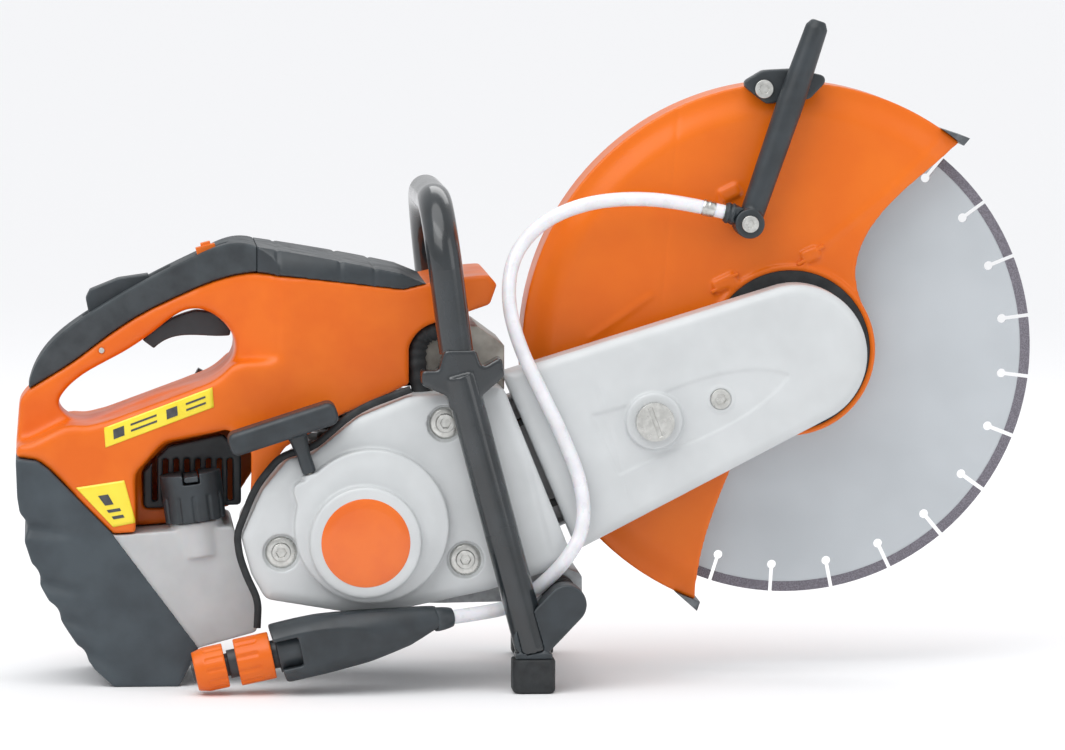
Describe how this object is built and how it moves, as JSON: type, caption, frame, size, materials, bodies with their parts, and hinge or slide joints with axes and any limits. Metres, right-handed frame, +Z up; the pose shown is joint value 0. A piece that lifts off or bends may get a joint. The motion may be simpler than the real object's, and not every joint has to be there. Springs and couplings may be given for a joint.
{
  "type": "rescue saw",
  "caption": "Hand-held petrol cut-off saw with a toothed diamond disc under a swinging guard, rear and hoop handles, pull starter and water feed hose.",
  "frame": {"origin": "on the floor under the centre of the whole saw", "axes": "+X forward to the blade, +Y to the side away from the starter, +Z up"},
  "size_m": [0.723, 0.244, 0.4678],
  "materials": {
    "guard_paint": "orange powder coat",
    "orange_plastic": "satin moulded",
    "light_grey_plastic": "satin moulded",
    "tank_plastic": "satin moulded",
    "dark_plastic": "fine grain",
    "bumper_plastic": "fine grain",
    "lacquered_casting": "painted casting",
    "bare_casting": "shot blasted",
    "blade_steel": "ground",
    "diamond_segment": "sintered, rough",
    "machined_steel": "turned",
    "zinc_steel": "zinc plated",
    "tube_coating": "black plastic coated tube",
    "rubber": "moulded",
    "hose_pvc": "smooth",
    "rope_nylon": "braided",
    "filter_paper": "pleated",
    "muffler_steel": "heat stained"
  },
  "bodies": {
    "frame": {"handle_housing": "orange_plastic", "grip_cover": "dark_plastic", "filter_cover": "dark_plastic", "air_filter": "filter_paper", "fuel_tank": "tank_plastic", "rear_bumper": "bumper_plastic", "intake_grille": "dark_plastic", "crankcase": "bare_casting", "cylinder": "bare_casting", "muffler": "muffler_steel", "spark_plug": "zinc_steel", "carburettor": "bare_casting", "starter_cover": "light_grey_plastic", "arm_casting": "lacquered_casting", "belt_cover": "light_grey_plastic", "drive_belt": "rubber", "bearings": "machined_steel", "handlebar": "tube_coating", "handlebar_strut": "tube_coating", "rubber_feet": "rubber", "foot_brackets": "dark_plastic", "av_buffers": "rubber", "edge_seal": "rubber", "water_hose": "hose_pvc", "hose_sleeve": "dark_plastic", "coupling_body": "dark_plastic", "handle_pins": "zinc_steel", "cover_screws": "zinc_steel", "fan_cover": "light_grey_plastic"},
    "guard": {"guard_shell": "guard_paint", "guard_tips": "zinc_steel", "guard_lever": "dark_plastic", "guard_bracket": "dark_plastic", "guard_bolts": "zinc_steel", "hose_fitting": "dark_plastic"},
    "blade": {"blade_core": "blade_steel", "blade_segments": "diamond_segment", "thrust_washers": "machined_steel", "spindle": "machined_steel", "spindle_pulley": "machined_steel", "blade_bolt": "zinc_steel"},
    "clutch": {"clutch_drum": "machined_steel"},
    "crank": {"crankshaft": "machined_steel", "clutch_shoes": "machined_steel", "flywheel": "bare_casting"},
    "piston": {"piston": "bare_casting"},
    "reel": {"starter_reel": "dark_plastic"},
    "starter": {"starter_grip": "dark_plastic", "starter_rope": "rope_nylon"},
    "trigger": {"throttle_trigger": "dark_plastic"},
    "lock": {"throttle_lock": "dark_plastic"},
    "stop": {"stop_slider": "orange_plastic"},
    "choke": {"choke_knob": "dark_plastic"},
    "primer": {"primer_bulb": "rubber"},
    "decompression": {"decompression_button": "dark_plastic"},
    "cap": {"fuel_cap": "dark_plastic"},
    "cap_wing": {"fuel_cap_wing": "dark_plastic"},
    "tensioner": {"tensioner_nut": "zinc_steel"},
    "collar": {"coupling_collar": "orange_plastic"},
    "nut": {"hose_nut": "orange_plastic"}
  },
  "joints": [
    {"name": "blade_spin", "type": "hinge", "parent": "frame", "child": "blade", "pos_m": [0.188, 0, 0.232], "axis": [0, 1, 0], "continuous": true},
    {"name": "drum_spin", "type": "hinge", "parent": "frame", "child": "clutch", "pos_m": [-0.117, 0, 0.106], "axis": [0, 1, 0], "continuous": true},
    {"name": "crank_spin", "type": "hinge", "parent": "frame", "child": "crank", "pos_m": [-0.117, 0, 0.106], "axis": [0, 1, 0], "continuous": true},
    {"name": "piston_slide", "type": "slide", "parent": "frame", "child": "piston", "axis": [0, 0, 1], "range_m": [-0.034, 0]},
    {"name": "starter_pull", "type": "slide", "parent": "frame", "child": "starter", "axis": [-0.3057, 0, 0.9521], "range_m": [0, 0.6], "stiffness_N_per_m": 20, "springref_m": -0.3, "deforming": ["starter_rope"]},
    {"name": "reel_spin", "type": "hinge", "parent": "frame", "child": "reel", "pos_m": [-0.117, 0, 0.106], "axis": [0, 1, 0], "range_deg": [-5, 1600]},
    {"name": "guard_swing", "type": "hinge", "parent": "frame", "child": "guard", "pos_m": [0.188, 0, 0.232], "axis": [0, 1, 0], "range_deg": [-30, 30], "deforming": ["water_hose"]},
    {"name": "trigger_pull", "type": "hinge", "parent": "frame", "child": "trigger", "pos_m": [-0.213, 0, 0.256], "axis": [0, 1, 0], "range_deg": [0, 12], "stiffness_Nm_per_rad": 0.3, "springref_deg": -11.46},
    {"name": "lock_press", "type": "hinge", "parent": "frame", "child": "lock", "pos_m": [-0.299, 0, 0.234], "axis": [0, 1, 0], "range_deg": [0, 8], "stiffness_Nm_per_rad": 0.3, "springref_deg": -11.46},
    {"name": "stop_slide", "type": "slide", "parent": "frame", "child": "stop", "axis": [0.9703, 0, 0.2419], "range_m": [0, 0.006]},
    {"name": "choke_turn", "type": "hinge", "parent": "frame", "child": "choke", "pos_m": [-0.236, 0.06, 0.196], "axis": [0, 1, 0], "range_deg": [0, 60]},
    {"name": "primer_press", "type": "slide", "parent": "frame", "child": "primer", "axis": [0, -1, 0], "range_m": [0, 0.005], "stiffness_N_per_m": 300, "springref_m": -0.002},
    {"name": "decompression_press", "type": "slide", "parent": "frame", "child": "decompression", "axis": [0, -1, 0], "range_m": [0, 0.004], "stiffness_N_per_m": 300, "springref_m": -0.002},
    {"name": "cap_turn", "type": "hinge", "parent": "frame", "child": "cap", "pos_m": [-0.233, -0.0445, 0.111], "axis": [-0.1219, 0, 0.9925], "range_deg": [0, 90]},
    {"name": "cap_wing_fold", "type": "hinge", "parent": "cap", "child": "cap_wing", "pos_m": [-0.2403, -0.0445, 0.14587], "axis": [0, -1, 0], "range_deg": [0, 85]},
    {"name": "tensioner_turn", "type": "hinge", "parent": "frame", "child": "tensioner", "pos_m": [0.08704, 0, 0.18702], "axis": [0, 1, 0], "range_deg": [0, 45]},
    {"name": "collar_slide", "type": "slide", "parent": "frame", "child": "collar", "axis": [0.9781, 0, 0.2079], "range_m": [-0.005, 0], "stiffness_N_per_m": 500, "springref_m": 0.004},
    {"name": "nut_turn", "type": "hinge", "parent": "frame", "child": "nut", "pos_m": [-0.22434, -0.106, 0.01876], "axis": [0.9781, 0, 0.2079], "continuous": true}
  ],
  "couplings": [
    {"joint": "drum_spin", "follows": "blade_spin", "ratio": 1.7273},
    {"joint": "reel_spin", "follows": "starter_pull", "rad_per_m": 45.455}
  ]
}
